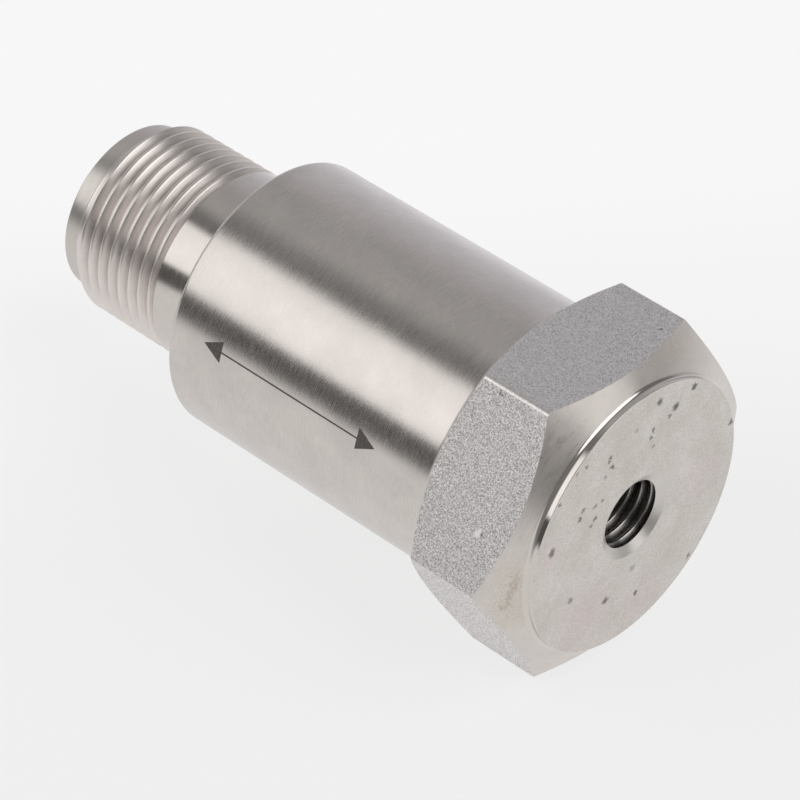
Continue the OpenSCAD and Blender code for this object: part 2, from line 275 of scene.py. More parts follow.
# %% [markdown]
# ## Which surface is which
#
# One piece carries several finishes: the flats keep the grain of the drawn bar, while the cones, the face
# and the body are turned. Faces could be picked by hand in Edit Mode, but a rule on where they lie still
# works after a size has changed. Each group gets its own material slot.

# %% Sort the faces by finish
BODY, FLAT, CONE, FACE, LIP, HOLE, EDGE, SINK = range(8)
UPRIGHT_LIMIT = 0.01
hole_margin = 0.5
hole_end = cavity_floor - 0.1
body_margin = 0.05


def surface_of(face):
    """The finish that a face of the housing has, from its place."""
    centre = face.calc_center_median() / MM
    radius = math.hypot(centre.x, centre.y)
    if abs(face.normal.z) < UPRIGHT_LIMIT and radius > body_radius + 2 * tool_radius:
        return FLAT
    if centre.z < countersink_depth and stud_minor_radius < radius < body_radius - face_round:
        return SINK if radius < countersink_radius else FACE
    if centre.z < 2 * lip_height and body_radius - face_round < radius < body_radius + tool_radius / 2:
        return LIP
    if radius < stud_minor_radius + hole_margin and countersink_depth < centre.z < hole_end:
        return HOLE
    if centre.z < base_height + tool_radius and radius > body_radius + body_margin:
        return CONE
    return BODY


for face in housing_shape.faces:
    face.material_index = surface_of(face)
print(sum(face.material_index == FLAT for face in housing_shape.faces), "faces keep the grain of the bar")

# %% [markdown]
# ## The corners of the bar
#
# Drawn bar has rounded corners, so the edges between two flats get a bevel, which catches the light as a
# thin bright line. One corner has been rubbed rounder than the others. Edges that the lathe tool cut stay
# sharp. A Weighted Normal modifier keeps the large flats looking flat beside these narrow bevels.

# %% Round the corners of the bar
CORNER_BEND = 0.3
SAME_WAY = 0.99
bar_corner = 0.1
rubbed_corner = 0.28
rubbed_angle = math.radians(-120)

bar_edges = [
    edge for edge in housing_shape.edges
    if all(face.material_index == FLAT for face in edge.link_faces) and edge.calc_face_angle(0) > CORNER_BEND]
rubbed_way = Vector((math.cos(rubbed_angle), math.sin(rubbed_angle)))
rubbed_edges = [edge for edge in bar_edges if edge.verts[0].co.xy.normalized().dot(rubbed_way) > SAME_WAY]
plain_edges = [edge for edge in bar_edges if edge not in rubbed_edges]
for edges, offset in ((rubbed_edges, rubbed_corner), (plain_edges, bar_corner)):
    rounded = bmesh.ops.bevel(housing_shape, geom=edges, offset=offset * MM, offset_type="OFFSET", segments=4,
                              profile=0.5, affect="EDGES", clamp_overlap=True, material=-1)
    for face in rounded["faces"]:
        face.material_index = EDGE
print(len(bar_edges), "corners rounded,", len(rubbed_edges), "of them rubbed")
housing = make_piece("housing_turned", housing_shape, ["housing"])
weighted = housing.modifiers.new("even_normals", "WEIGHTED_NORMAL")
weighted.keep_sharp = True

# %% [markdown]
# ## Threads
#
# A thread is a ridge that climbs one pitch with each turn. The Screw modifier can make one, and so can the
# spin operator: given a step along the axis, it turns a small section into a helix. The ridge has the blunt
# 60 degree section of an inch thread, with a soft crest, which is where a thread catches the light. It
# fades out at both ends, as the cutting tool leaves it, and its foot is sunk into the metal so that no gap
# shows.

# %% Thread helpers
THREAD_STEPS = 96
FADED_RISE = 0.02


def soft_corner(before, corner, after, reach, steps=4):
    """Points that round a corner of a section: the curve starts and ends a short reach from the corner."""
    before, corner, after = Vector(before), Vector(corner), Vector(after)
    start = corner + (before - corner).normalized() * reach
    end = corner + (after - corner).normalized() * reach
    shares = [step / steps for step in range(steps + 1)]
    return [start.lerp(corner, share).lerp(corner.lerp(end, share), share) for share in shares]


def ridge_section(root, crest, crest_width, crest_round, foot_width):
    """The section of a ridge as (radius, height) points, with a soft crest."""
    foot, top = foot_width / 2, crest_width / 2
    corners = [(root, -foot), (crest, -top), (crest, top), (root, foot)]
    lower_corner = soft_corner(*corners[:3], crest_round)
    upper_corner = soft_corner(*corners[1:], crest_round)
    return [corners[0], *lower_corner, *upper_corner, corners[3]]


def spin_ridge(section, pitch, start, turns, fade_turns):
    """A helical ridge that starts at a height, in millimetres, and fades at both ends."""
    shape = bmesh.new()
    root = section[0][0]
    points = [shape.verts.new((radius * MM, 0, (start + height) * MM)) for radius, height in section]
    edges = [shape.edges.new((points[k], points[(k + 1) % len(points)])) for k in range(len(points))]
    spun = bmesh.ops.spin(
        shape, geom=points + edges, cent=(0, 0, 0), axis=(0, 0, 1), angle=math.tau * turns,
        steps=round(turns * THREAD_STEPS), dvec=(0, 0, pitch * MM / THREAD_STEPS))
    last_edges = [item for item in spun["geom_last"] if isinstance(item, bmesh.types.BMEdge)]
    bmesh.ops.contextual_create(shape, geom=edges)
    bmesh.ops.contextual_create(shape, geom=last_edges)
    shape.verts.ensure_lookup_table()
    for vert in shape.verts:
        turn = (vert.index // len(section)) / THREAD_STEPS
        rise = min(1.0, turn / fade_turns, (turns - turn) / fade_turns)
        radius = math.hypot(vert.co.x, vert.co.y) / MM
        lowered = root + (radius - root) * max(rise, FADED_RISE)
        vert.co.xy *= lowered / radius
    bmesh.ops.recalc_face_normals(shape, faces=shape.faces)
    return shape


print("one turn of a thread takes", THREAD_STEPS, "steps")

# %% [markdown]
# ## The thread of the stud hole
#
# The mounting stud screws in here, with 28 turns to the inch. This ridge stands inwards, so its root has
# the larger radius, and the same helper makes it. It is turned about the axis to start where the photograph
# shows it.

# %% Thread of the stud hole
INCH = 25.4
stud_pitch = INCH / 28
stud_thread_gap = 0.17
stud_thread_start = countersink_depth + stud_thread_gap
stud_thread_turn = math.radians(-150)
stud_turns = (hole_depth - 2 * hole_lip - stud_thread_start) / stud_pitch

stud_section = ridge_section(root=thread_major + 2 * thread_clear, crest=stud_minor_radius, crest_width=0.2,
                             crest_round=0.09, foot_width=0.8)
stud_thread_shape = spin_ridge(stud_section, stud_pitch, stud_thread_start, stud_turns, fade_turns=0.3)
bmesh.ops.rotate(stud_thread_shape, verts=stud_thread_shape.verts, cent=(0, 0, 0),
                 matrix=Matrix.Rotation(stud_thread_turn, 3, "Z"))
stud_thread = make_piece("stud_hole_thread", stud_thread_shape)

# %% [markdown]
# ## The connector shell
#
# The shell is a ring: a flange in the top of the body, a plain neck, the threaded barrel and a plain pilot
# ring at the mouth. Inside, the socket ends at the insert. Its outline is a closed loop, so it spins into a
# ring with no poles. Along the thread the outline is at the thread's root, and the ridge brings it back to
# its full size.

# %% Connector outline
thread_start_z = 40.85
thread_end_z = 50.0
thread_lead = 0.85
thread_depth = 0.58
flank = 0.3
root_radius = thread_radius - thread_depth
lead_foot = thread_end_z - thread_lead
neck_foot_round = 0.2
pilot_radius = 6.95
pilot_round = 0.15
mouth_round = 0.15
socket_gap = 0.02
socket_radius = insert_high.x + socket_gap
insert_ledge = 1.0
rear_bore_radius = socket_radius - insert_ledge

shell_outline = (
    [(rear_bore_radius, flange_z), (flange_radius, flange_z), (flange_radius, shoulder_z)]
    + arc((thread_radius + neck_foot_round, shoulder_z + neck_foot_round), neck_foot_round, 270, 180, 4)
    + [(thread_radius, thread_start_z), (root_radius, thread_start_z + flank)]
    + [(root_radius, lead_foot + thread_depth), (thread_radius - thread_lead, thread_end_z)]
    + [(pilot_radius, thread_end_z)]
    + arc((pilot_radius - pilot_round, mouth_z - pilot_round), pilot_round, 0, 90)
    + arc((socket_radius + mouth_round, mouth_z - mouth_round), mouth_round, 90, 180, 4)
    + [(socket_radius, insert_low.z), (rear_bore_radius, insert_low.z)]
)
shell_shape = spin_outline(shell_outline, closed=True)
connector = make_piece("connector_turned", shell_shape, ["connector_shell"])

# %% [markdown]
# ## The connector thread
#
# The plug's coupling nut runs on this thread, and a lead chamfer helps the nut to start. On the real part
# the chamfer cuts off the last turn of the ridge. A bisecting plane can't follow a cone, so each vertex
# that would stand out of the chamfer is drawn in until it lies just below it.

# %% Connector thread
connector_pitch = INCH / 24
thread_end_room = 0.3
thread_start_gap = 0.03
foot_sink = 0.05
ridge_sink = 0.015
thread_turns = (thread_end_z - thread_start_z - thread_end_room) / connector_pitch

barrel_section = ridge_section(root=root_radius - foot_sink, crest=thread_radius, crest_width=0.22,
                               crest_round=0.1, foot_width=0.98)
ridge_start = thread_start_z + thread_start_gap
barrel_thread_shape = spin_ridge(barrel_section, connector_pitch, ridge_start, thread_turns, fade_turns=0.3)
for vert in barrel_thread_shape.verts:
    vert.co.z = min(vert.co.z, (thread_end_z - ridge_sink) * MM)
    reach = math.hypot(vert.co.x, vert.co.y) / MM
    limit = thread_radius - max(vert.co.z / MM - lead_foot + 2 * ridge_sink, 0)
    vert.co.xy *= min(1.0, limit / reach)
barrel_thread = make_piece("connector_thread", barrel_thread_shape)

# %% [markdown]
# ## The keyway
#
# A slot in the wall of the socket lets the plug in one way round only. It has straight walls in a round
# bore, so a Boolean with a block is the direct way. The result is taken from the evaluated object and the
# block is deleted.

# %% Cut the keyway
keyway_width = 2.0
keyway_depth = 0.45
keyway_reach = socket_radius + keyway_depth
block_top = mouth_z + 1.0

block_shape = bmesh.new()
bmesh.ops.create_cube(block_shape, size=1)
bmesh.ops.scale(block_shape, verts=block_shape.verts,
                vec=(keyway_width * MM, keyway_reach * MM, (block_top - insert_high.z) * MM))
bmesh.ops.translate(block_shape, verts=block_shape.verts,
                    vec=(0, keyway_reach / 2 * MM, (block_top + insert_high.z) / 2 * MM))
block_mesh = bpy.data.meshes.new("keyway_block")
block_shape.to_mesh(block_mesh)
block_shape.free()
block = bpy.data.objects.new("keyway_block", block_mesh)
bpy.context.scene.collection.objects.link(block)
keyway = connector.modifiers.new("keyway", "BOOLEAN")
keyway.object = block
keyway.operation = "DIFFERENCE"
keyway.solver = "EXACT"
bpy.context.view_layer.update()
evaluated = connector.evaluated_get(bpy.context.evaluated_depsgraph_get())
slotted = bpy.data.meshes.new_from_object(evaluated)
connector.modifiers.clear()
connector.data = slotted
bpy.data.objects.remove(block)
shade_mesh(slotted)
print("slotted shell has", len(slotted.polygons), "faces")

# %% [markdown]
# ## Contacts
#
# Each contact is a turned pin with a rounded tip and a solder cup behind the insert. A cylinder with a
# bevel would give the pin but not the cup, so it is another spun outline, moved to its place in the mesh so
# that the object itself stays at the origin.

# %% Contact pins
PIN_STEPS = 48
pin_radius = 0.7875
cup_bore = 0.5
cup_depth = 1.8
contacts = []
for node_name in ("contact_pin_a", "contact_pin_b"):
    pin_low, pin_high = (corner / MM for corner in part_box(node_name))
    pin_x = (pin_low.x + pin_high.x) / 2
    cup_radius = (pin_high.x - pin_low.x) / 2
    pin_outline = [
        (0, pin_low.z + cup_depth),
        (cup_bore, pin_low.z + cup_depth),
        (cup_bore, pin_low.z),
        (cup_radius, pin_low.z),
        (cup_radius, insert_low.z),
        (pin_radius, insert_low.z),
    ] + arc((0, pin_high.z - pin_radius), pin_radius, 0, 90)
    pin_shape = spin_outline(pin_outline, steps=PIN_STEPS)
    bmesh.ops.translate(pin_shape, verts=pin_shape.verts, vec=(pin_x * MM, 0, 0))
    piece_name = node_name.replace("contact_pin", "contact_turned")
    contacts.append(make_piece(piece_name, pin_shape, [node_name]))

# %% [markdown]
# ## The direction arrow
#
# A laser has darkened a double arrow along the body, to show which way the sensor feels. It could be a mask
# in the body's finish, but a piece of its own has clean edges at any distance. It is drawn flat, cut into
# narrow strips and wrapped round the body, with a trace of thickness that makes it a closed skin.

# %% Draw the arrow flat
HEAD_STRIPS = 5
arrow_low, arrow_high = 15.6, 32.7
head_length, head_half = 1.75, 0.88
head_foot = arrow_low + head_length
line_half = 0.068

arrow_shape = bmesh.new()
half_arrow = [(-line_half, head_foot), (-head_half, head_foot), (0, arrow_low), (head_half, head_foot),
              (line_half, head_foot)]
other_half = [(-across, arrow_low + arrow_high - along) for across, along in half_arrow]
arrow_outline = half_arrow + other_half
arrow_points = [arrow_shape.verts.new((across * MM, 0, along * MM)) for across, along in arrow_outline]
arrow_shape.faces.new(arrow_points)
for strip in range(1 - HEAD_STRIPS, HEAD_STRIPS):
    bmesh.ops.bisect_plane(arrow_shape, geom=whole(arrow_shape), dist=MERGE_DISTANCE,
                           plane_co=(strip * head_half / HEAD_STRIPS * MM, 0, 0), plane_no=(1, 0, 0))
print("flat arrow has", len(arrow_shape.faces), "faces")

# %% Wrap the arrow round the body
arrow_azimuth = math.radians(-162.4)
mark_height = 0.004
mark_depth = 0.02

skin = bmesh.ops.extrude_face_region(arrow_shape, geom=list(arrow_shape.faces))
lifted = [item for item in skin["geom"] if isinstance(item, bmesh.types.BMVert)]
bmesh.ops.translate(arrow_shape, verts=lifted, vec=(0, (mark_height + mark_depth) * MM, 0))
for vert in arrow_shape.verts:
    turn = arrow_azimuth + vert.co.x / (body_radius * MM)
    radius = (body_radius - mark_depth) * MM + vert.co.y
    vert.co.xy = radius * math.cos(turn), radius * math.sin(turn)
bmesh.ops.recalc_face_normals(arrow_shape, faces=arrow_shape.faces)
arrow = make_piece("direction_arrow", arrow_shape)

# %% [markdown]
# ## Building materials from nodes
#
# Every finish here is a small tree of nodes. One helper adds a node and sets or links its inputs, which
# keeps the trees short enough to read. A value that is the same all over a surface is set on the shader's
# own socket, so new_finish takes those values by name.

# %% Node helpers


def fill_socket(tree, socket, value):
    """Link a value that comes from another node, or set a plain one."""
    if isinstance(value, bpy.types.NodeSocket):
        tree.links.new(value, socket)
    else:
        socket.default_value = value


def add_node(tree, kind, inputs=None, **options):
    """A new node with its options set and its inputs set or linked."""
    made = tree.nodes.new(kind)
    for name, value in options.items():
        setattr(made, name, value)
    for name, value in (inputs or {}).items():
        fill_socket(tree, made.inputs[name], value)
    return made


def set_shader(tree, **sockets):
    """Fill sockets of a finish's shader, which are named with a low line for a space."""
    shader = tree.nodes["Principled BSDF"]
    for name, value in sockets.items():
        fill_socket(tree, shader.inputs[name.replace("_", " ")], value)


def new_finish(name, **sockets):
    """A material and its node tree, with the sockets that are the same all over it."""
    material = bpy.data.materials.new(name)
    material.use_nodes = True
    set_shader(material.node_tree, **sockets)
    print("finish", name)
    return material, material.node_tree


print("materials before the finishes:", len(bpy.data.materials))

# %% [markdown]
# ## Patterns
#
# Machined and worn metal varies in a few simple ways, so a few helpers are enough: a noise, a change of
# range, a blend of two colours and a bump. Patterns are placed by Object coordinates, which need no UV map.
# They are in metres, so a scale of 1000 is about one feature a millimetre.

# %% Pattern helpers
BUMP_DEPTH = 0.02 * MM


def place(tree, stretch=(1, 1, 1)):
    """Object coordinates, stretched by a scale for each axis."""
    coordinates = add_node(tree, "ShaderNodeTexCoord").outputs["Object"]
    return add_node(tree, "ShaderNodeMapping", {"Vector": coordinates, "Scale": stretch}).outputs[0]


def noise(tree, vector, scale, detail=2.0, roughness=0.5):
    """The grey value of a noise texture."""
    inputs = {"Vector": vector, "Scale": scale, "Detail": detail, "Roughness": roughness}
    return add_node(tree, "ShaderNodeTexNoise", inputs).outputs[0]


def spread(tree, value, first, last, start=0.0, end=1.0):
    """A value mapped from the range start to end onto first to last, and held at its ends."""
    inputs = {"Value": value, "From Min": start, "From Max": end, "To Min": first, "To Max": last}
    return add_node(tree, "ShaderNodeMapRange", inputs).outputs[0]


def ramp(tree, value, start, end):
    """A mask that is 0 where the value is at its start and 1 at its end."""
    return spread(tree, value, first=0.0, last=1.0, start=start, end=end)


def blend_colour(tree, factor, first, second):
    """Two colours mixed by a factor."""
    mixed = add_node(tree, "ShaderNodeMix", data_type="RGBA")
    for socket, value in ((mixed.inputs[0], factor), (mixed.inputs[6], first), (mixed.inputs[7], second)):
        fill_socket(tree, socket, value)
    return mixed.outputs[2]


def bump(tree, height, strength, depth=BUMP_DEPTH, normal=None):
    """A bump from a height, with its depth in metres."""
    inputs = {"Height": height, "Strength": strength, "Distance": depth}
    if normal is not None:
        inputs["Normal"] = normal
    return add_node(tree, "ShaderNodeBump", inputs).outputs[0]


print("bumps are", BUMP_DEPTH / MM, "mm deep")

# %% [markdown]
# ## Turned steel
#
# A lathe tool leaves fine rings round the part. They scatter light along the axis and hardly round it, so
# the finish is anisotropic: the Tangent node runs round Z, and a quarter turn puts the wide lobe along the
# axis. The rings that the eye can still see are a noise that is stretched round the part. It sets the
# roughness, a slight bump and, on the body, thin grooves with painted shade, darker where the noise is low.
# Painted groove shade and stipple are built only for a finish that asks for them.

# %% Turned finish
RING_STRETCH = (0.08, 0.08, 1.0)
STIPPLE_STRETCH = (0.5, 0.5, 1.0)
RING_SMOOTHER, RING_ROUGHER = 0.05, 0.07
GROOVE_STEEL = (0.3, 0.28, 0.265, 1)


def turned_finish(name, colour, dull, roughness, rings, ring_strength, pitting=0.0, grooves=0.0):
    """Stainless steel with turning rings: rings is how many there are to a millimetre."""
    material, tree = new_finish(name, Metallic=1.0, Anisotropic=0.7, Anisotropic_Rotation=0.25)
    around = add_node(tree, "ShaderNodeTangent", direction_type="RADIAL", axis="Z").outputs[0]
    fine = noise(tree, place(tree, RING_STRETCH), rings / MM, detail=3.0, roughness=0.7)
    cloud = noise(tree, place(tree), scale=300.0, detail=4.0, roughness=0.6)
    steel = blend_colour(tree, ramp(tree, cloud, start=0.35, end=0.65), dull, colour)
    if grooves:
        # Painted shade: the grooves, the low parts of the ring noise, are darkened in the colour.
        depth = spread(tree, fine, first=grooves, last=0.0, start=0.3, end=0.7)
        steel = blend_colour(tree, depth, steel, GROOVE_STEEL)
    gloss = spread(tree, fine, roughness - RING_SMOOTHER, roughness + RING_ROUGHER, start=0.3, end=0.7)
    normal = bump(tree, fine, ring_strength)
    if pitting:
        stipple = noise(tree, place(tree, STIPPLE_STRETCH), scale=5000.0, detail=2.0, roughness=0.6)
        normal = bump(tree, stipple, pitting, normal=normal)
    set_shader(tree, Base_Color=steel, Roughness=gloss, Normal=normal, Tangent=around)
    return material


print("rings are stretched", 1 / RING_STRETCH[0], "times round the part")

# %% [markdown]
# ## The turned surfaces
#
# Each surface now needs only its own colours, gloss and rings. The body is satin, the lip and the neck are
# polished, the countersink and the pilot ring are duller, and the tapped hole is painted dark as shade. One
# material for them all would be shorter, but would lose the differences that make turned metal look real.

# %% Turned surfaces
STEEL = (0.64, 0.595, 0.56, 1)
STEEL_DULL = (0.58, 0.54, 0.51, 1)

body_finish = turned_finish(
    "satin_turned_steel", (0.69, 0.642, 0.606, 1), (0.625, 0.582, 0.552, 1),
    roughness=0.23, rings=14, ring_strength=0.32, pitting=0.08, grooves=0.28)
lip_finish = turned_finish(
    "polished_lip_steel", STEEL, (0.62, 0.576, 0.542, 1), roughness=0.11, rings=10, ring_strength=0.05)
# The tapped hole's steel is painted dark: painted shade inside the hole.
hole_finish = turned_finish(
    "tapped_hole_shaded_steel", (0.36, 0.34, 0.325, 1), (0.24, 0.225, 0.21, 1),
    roughness=0.24, rings=10, ring_strength=0.1)
sink_finish = turned_finish(
    "countersink_steel", (0.63, 0.595, 0.565, 1), (0.58, 0.55, 0.52, 1),
    roughness=0.37, rings=10, ring_strength=0.05)
neck_finish = turned_finish(
    "polished_neck_steel", STEEL, STEEL_DULL, roughness=0.17, rings=12, ring_strength=0.06)
thread_finish = turned_finish(
    "thread_steel", (0.75, 0.7, 0.67, 1), (0.7, 0.65, 0.62, 1), roughness=0.34, rings=8, ring_strength=0.03)
pilot_finish = turned_finish("pilot_steel", STEEL, STEEL_DULL, roughness=0.36, rings=8, ring_strength=0.03)

# %% [markdown]
# ## Patches and marks
#
# Wear sits where hands and tools have been, so a noise alone can't place it, and a painted image would need
# a UV map. Here each spot is a place, a radius in millimetres and a strength, and the distance to it
# becomes a soft patch. A noise moves the point that is measured, which tears the patch's edge. Marks are
# patches that a finer noise breaks up.

# %% Mask helpers
TEAR_SCALE = 2600.0
GRAIN_OF_MARKS = 9000.0
BREAK_START, BREAK_END = 0.82, 1.22


def maths(tree, operation, first, second):
    """The result of one sum on two values."""
    return add_node(tree, "ShaderNodeMath", {0: first, 1: second}, operation=operation).outputs[0]


def vector_maths(tree, operation, first, second):
    """The node for one sum on two vectors."""
    return add_node(tree, "ShaderNodeVectorMath", {0: first, 1: second}, operation=operation)


def largest(tree, masks):
    """The largest of several masks."""
    result = masks[0]
    for mask in masks[1:]:
        result = maths(tree, "MAXIMUM", result, mask)
    return result


def patches(tree, spots, ragged, core=0.3):
    """A mask of soft patches, with edges torn by a ragged number of millimetres."""
    coordinates = add_node(tree, "ShaderNodeTexCoord").outputs["Object"]
    jitter = add_node(tree, "ShaderNodeTexNoise", {"Vector": coordinates, "Scale": TEAR_SCALE, "Detail": 2.0})
    centred = vector_maths(tree, "SUBTRACT", jitter.outputs["Color"], (0.5, 0.5, 0.5)).outputs[0]
    shift = vector_maths(tree, "MULTIPLY", centred, (ragged * MM, ragged * MM, ragged * MM)).outputs[0]
    torn = vector_maths(tree, "ADD", coordinates, shift).outputs[0]
    masks = []
    for spot, radius, strength in spots:
        away = vector_maths(tree, "DISTANCE", torn, Vector(spot) * MM).outputs["Value"]
        inner, outer = core * radius * MM, radius * MM
        masks.append(spread(tree, away, first=strength, last=0.0, start=inner, end=outer))
    return largest(tree, masks)


def marks(tree, spots, ragged, stretch=(1, 1, 1)):
    """A mask of broken marks: a fine noise decides where each soft patch shows."""
    soft = patches(tree, spots, ragged)
    grains = noise(tree, place(tree, stretch), GRAIN_OF_MARKS, detail=2.0, roughness=0.6)
    both = maths(tree, "ADD", soft, grains)
    broken = ramp(tree, both, start=BREAK_START, end=BREAK_END)
    return maths(tree, "MINIMUM", broken, soft)


print("edges of patches are torn every", round(1 / TEAR_SCALE / MM, 2), "mm or so")

# %% [markdown]
# ## Turned cones
#
# The two cones of the base have the same kind of finish as the body, a little rougher. Handling has left a
# mottled tan film on one side, with a darker streak in it. The film is a few wide patches times a noise,
# and the streak is a row of small marks along a line, stronger towards its end.

# %% Cones with a tan film
FILM_COLOUR = (0.47, 0.4, 0.3, 1)
STREAK_COLOUR = (0.3, 0.26, 0.2, 1)
STREAK_STEPS = 14
streak_start, streak_end = Vector((-11.5, -1.8, 0.95)), Vector((-12.2, 1.6, 1.3))
streak_radius = 0.75
streak_strength, streak_gain = 0.36, 0.1
film = [((-11.7, -0.5, 0.95), 2.6, 0.6), ((-12.2, -2.0, 1.4), 2.0, 0.35), ((-11.4, 2.2, 1.0), 2.6, 0.5),
        ((-12.3, 1.2, 1.35), 1.8, 0.7), ((4.6, -12.0, 1.7), 2.6, 0.4)]
streak = []
for step in range(STREAK_STEPS + 1):
    streak_place = streak_start.lerp(streak_end, step / STREAK_STEPS)
    streak.append((streak_place, streak_radius, streak_strength + streak_gain * step / STREAK_STEPS))

cone_finish = turned_finish(
    "turned_cone_steel", STEEL, STEEL_DULL, roughness=0.3, rings=10, ring_strength=0.1)
cone_tree = cone_finish.node_tree
cone_steel = cone_tree.nodes["Principled BSDF"].inputs["Base Color"].links[0].from_socket
mottle = ramp(cone_tree, noise(cone_tree, place(cone_tree), scale=5200.0), start=0.36, end=0.64)
film_mask = maths(cone_tree, "MULTIPLY", patches(cone_tree, film, ragged=2.0, core=0.0), mottle)
streak_mask = marks(cone_tree, streak, ragged=0.8, stretch=(1, 0.3, 1))
filmed = blend_colour(cone_tree, film_mask, cone_steel, FILM_COLOUR)
set_shader(cone_tree, Base_Color=blend_colour(cone_tree, streak_mask, filmed, STREAK_COLOUR))
print("the film has", len(film), "patches and the streak", len(streak), "marks")

# %% [markdown]
# ## Bar grain
#
# The flats were never turned: they keep the pickled grain of the drawn bar. Its crystals are about a
# twentieth of a millimetre across, each a little lighter or darker than the next, which the random cell
# colour of a Voronoi texture gives directly. The grain goes into the colour and the bump and a speck into
# the roughness, so the flats sparkle instead of shining. Round one corner, on the flats towards -X, the
# grain is a little paler and has more contrast. A pale patch that isn't metallic is a painted glint of a
# small dent, and a few dark spots lie on top as painted shade in small nicks.

# %% Grain of the flats
EVEN_DARK, EVEN_PALE = (0.42, 0.4, 0.398, 1), (0.88, 0.845, 0.838, 1)
ETCHED_DARK, ETCHED_PALE = (0.29, 0.276, 0.275, 1), (1.0, 0.96, 0.952, 1)
NICK_COLOUR = (0.12, 0.115, 0.11, 1)
SCUFF_COLOUR = (0.97, 0.95, 0.93, 1)
GRAIN_SCALE, SPECK_SCALE = 19300.0, 17300.0
etched_to, even_from = -7.4 * MM, -7.0 * MM
scuff = [((-12.32, -3.67, 4.1), 0.42, 1.0), ((-12.2, -3.9, 4.0), 0.3, 1.0)]
nicks = [((-7.51, -11.99, 6.7), 0.14, 0.9), ((-7.54, -11.97, 6.5), 0.14, 0.9),
         ((5.18, -12.5, 2.96), 0.16, 0.9), ((5.0, -12.5, 3.05), 0.12, 0.8), ((-12.24, -3.8, 3.76), 0.2, 0.9)]


def cells(tree, scale):
    """A grey value that jumps from one small crystal to the next."""
    return add_node(tree, "ShaderNodeTexVoronoi", {"Vector": place(tree), "Scale": scale}).outputs["Color"]


def grain_finish():
    """Pickled bar: an even, rough metal with a visible grain."""
    material, tree = new_finish("bar_grain_steel", Specular_Tint=(0.81, 0.81, 0.81, 1))
    grain = cells(tree, GRAIN_SCALE)
    speck = noise(tree, place(tree), SPECK_SCALE, detail=1.0)
    shade = ramp(tree, grain, start=0.21, end=0.69)
    even = blend_colour(tree, shade, EVEN_DARK, EVEN_PALE)
    # On the flats towards -X the grain is a little paler and has more contrast.
    etched = blend_colour(tree, shade, ETCHED_DARK, ETCHED_PALE)
    across = add_node(tree, "ShaderNodeSeparateXYZ", {0: place(tree)}).outputs["X"]
    plain = blend_colour(tree, ramp(tree, across, start=even_from, end=etched_to), even, etched)
    # Dark spots are painted shade in small nicks, and a pale non-metallic patch is a painted glint of a dent.
    nicked = blend_colour(tree, marks(tree, nicks, ragged=0.1), plain, NICK_COLOUR)
    scuffed = marks(tree, scuff, ragged=0.2)
    colour = blend_colour(tree, scuffed, nicked, SCUFF_COLOUR)
    gloss = spread(tree, speck, first=0.34, last=0.56, start=0.3, end=0.7)
    normal = bump(tree, speck, strength=0.4, normal=bump(tree, grain, strength=0.6, depth=2 * BUMP_DEPTH))
    metal = spread(tree, scuffed, first=1.0, last=0.0)
    set_shader(tree, Base_Color=colour, Roughness=gloss, Normal=normal, Metallic=metal)
    return material


flat_finish = grain_finish()
print("crystals are", round(1 / GRAIN_SCALE / MM, 3), "mm across")

# %% [markdown]
# ## Worn corners
#
# Spanners have rubbed the rounded corners of the bar brighter and smoother than the flats. A bevel shader
# could brighten edges without any geometry, but the corners are faces of their own here, so a plain finish
# is enough.

# %% Worn corners
WORN_DARK, WORN_PALE = (0.5, 0.475, 0.46, 1), (0.8, 0.765, 0.74, 1)


def worn_edge_finish():
    """The rounded corners of the bar, rubbed brighter than the flats."""
    material, tree = new_finish("worn_edge_steel", Metallic=1.0, Roughness=0.36)
    grain = noise(tree, place(tree), scale=9000.0, detail=2.0, roughness=0.6)
    colour = blend_colour(tree, ramp(tree, grain, start=0.3, end=0.6), WORN_DARK, WORN_PALE)
    set_shader(tree, Base_Color=colour, Normal=bump(tree, grain, strength=0.3))
    return material


edge_finish = worn_edge_finish()

# %% [markdown]
# ## The mounting face
#
# The face was lapped flat and has stood on machines: it is paler and duller than the body, with a fine
# grain, faint warm clouds and a scatter of small dark stains. Stains don't lie evenly, so each one is
# listed with its own place, and the masks tear and break it.

# %% Stains and clouds of the face
STAIN_REACH = 1.25
stains = [
    ((5.71, -8.66), 0.42, 0.9), ((1.88, -9.53), 0.42, 0.85), ((3.75, -7.95), 0.42, 0.9),
    ((3.1, -7.5), 0.3, 0.7), ((-0.48, -8.3), 0.28, 0.6), ((1.39, -7.26), 0.3, 0.75),
    ((1.18, -6.65), 0.3, 0.75), ((1.49, -5.67), 0.24, 0.6), ((-3.17, -7.48), 0.26, 0.75),
    ((-3.36, -7.18), 0.24, 0.7), ((-2.99, -6.54), 0.28, 0.75), ((-3.58, -5.98), 0.3, 0.6),
    ((-5.76, -8.17), 0.24, 0.65), ((-6.81, -8.27), 0.22, 0.6), ((-3.74, -3.94), 0.32, 0.6),
    ((-4.58, -3.82), 0.3, 0.6), ((-5.89, -4.28), 0.3, 0.7), ((-6.16, -3.71), 0.28, 0.75),
    ((-4.49, -2.64), 0.3, 0.7), ((-4.88, -2.23), 0.28, 0.65), ((-8.46, -6.46), 0.2, 0.7),
    ((-9.01, -2.36), 0.5, 0.75), ((-6.68, 3.73), 0.45, 0.6), ((-2.69, 6.37), 0.42, 0.8),
    ((0.74, 7.85), 0.34, 0.8), ((0.16, 5.03), 0.5, 0.5), ((6.7, 8.01), 0.3, 0.7), ((10.4, -2.5), 0.3, 0.8),
]
stain_spots = [((x, y, 0.0), STAIN_REACH * radius, strength) for (x, y), radius, strength in stains]
blushes = [((-5.4, 6.4, 0.0), 4.5, 0.8), ((1.4, 9.0, 0.0), 3.5, 0.6), ((7.3, 0.6, 0.0), 3.0, 0.6),
           ((-9.4, -2.1, 0.0), 2.0, 0.7)]
print("the face has", len(stain_spots), "stains and", len(blushes), "warm clouds")

